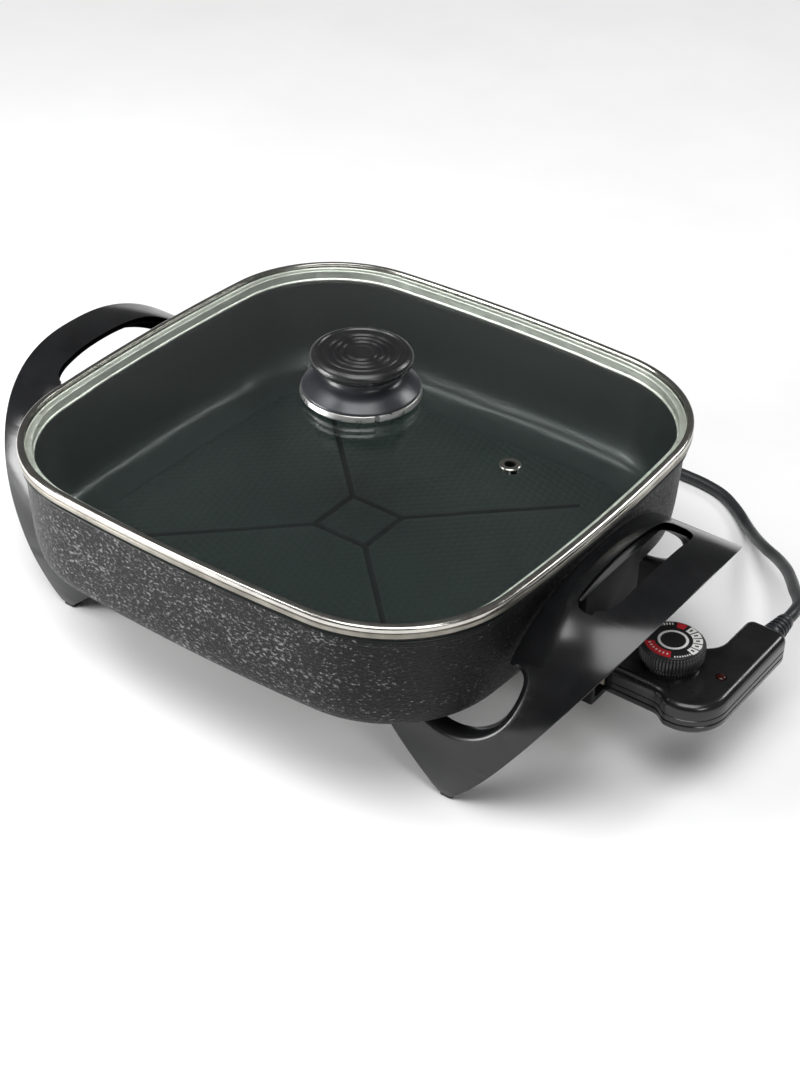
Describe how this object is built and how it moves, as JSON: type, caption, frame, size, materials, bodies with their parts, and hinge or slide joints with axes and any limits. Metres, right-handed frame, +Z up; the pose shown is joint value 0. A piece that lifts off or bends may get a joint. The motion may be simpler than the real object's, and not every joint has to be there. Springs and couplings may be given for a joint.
{
  "type": "electric frying pan",
  "caption": "Electric frying pan: square non-stick pan on two arched handle-legs, domed glass lid with knob, plug-in dial controller and cord.",
  "frame": {"origin": "on the table, under the middle of the appliance without its cord (left grip to controller)", "axes": "+Z up; X runs from the left handle to the right handle, under which the controller plugs in; Y across"},
  "size_m": [0.4454, 0.4065, 0.169],
  "materials": {
    "nonstick_aluminium": "die-cast aluminium with dark hammered and non-stick coating",
    "bakelite": "glossy black phenolic",
    "steel": "polished stainless",
    "heater_sheath": "heat-darkened sheath",
    "tempered_glass": "clear with a green edge",
    "rubber": "matt black",
    "controller_plastic": "glossy black",
    "brass": "satin",
    "ceramic": "unglazed",
    "lamp_lens": "translucent red"
  },
  "bodies": {
    "pan": {"pan_body": "nonstick_aluminium", "heating_element": "heater_sheath", "ceramic_sleeve_near": "ceramic", "ceramic_sleeve_far": "ceramic", "terminal_pin_near": "steel", "terminal_pin_far": "steel", "element_clip_near": "steel", "element_clip_far": "steel", "element_clip_left": "steel", "handle_right": "bakelite", "handle_left": "bakelite", "handle_screw_right_near": "steel", "handle_screw_right_far": "steel", "handle_screw_left_near": "steel", "handle_screw_left_far": "steel", "foot_pad_right_near": "rubber", "foot_pad_right_far": "rubber", "foot_pad_left_near": "rubber", "foot_pad_left_far": "rubber", "terminal_guard": "bakelite"},
    "lid": {"lid_glass": "tempered_glass", "lid_rim_band": "steel", "vent_grommet": "steel", "knob_seal": "rubber", "knob_base_ring": "steel", "knob_base": "bakelite", "knob_cap": "bakelite", "knob_screw": "steel", "knob_washer": "steel"},
    "controller": {"controller_case_top": "controller_plastic", "controller_case_bottom": "controller_plastic", "controller_screw_1": "steel", "controller_screw_2": "steel", "controller_screw_3": "steel", "socket_block": "ceramic", "contact_socket_near": "brass", "contact_socket_far": "brass", "thermostat_probe": "steel", "thermostat_frame": "steel", "bimetal_blade": "brass", "contact_carrier": "ceramic", "indicator_lens": "lamp_lens", "indicator_lamp": "tempered_glass", "terminal_block": "ceramic", "strain_relief": "rubber", "power_cord": "rubber", "cord_tail": "rubber", "cord_coil": "rubber", "coil_tie": "rubber", "plug_body": "rubber", "plug_blade_near": "brass", "plug_blade_far": "brass"},
    "dial": {"dial_spindle": "brass", "dial_skirt": "controller_plastic", "dial_knob": "controller_plastic", "dial_face": "controller_plastic"}
  },
  "joints": [
    {"name": "lid_lift", "type": "slide", "parent": "pan", "child": "lid", "axis": [0, 0, 1], "range_m": [0, 0.12]},
    {"name": "controller_pull", "type": "slide", "parent": "pan", "child": "controller", "axis": [1, 0, 0], "range_m": [0, 0.105]},
    {"name": "dial_turn", "type": "hinge", "parent": "controller", "child": "dial", "pos_m": [0.18475, 0, 0.06], "axis": [0, 0, -1], "range_deg": [0, 280]}
  ]
}
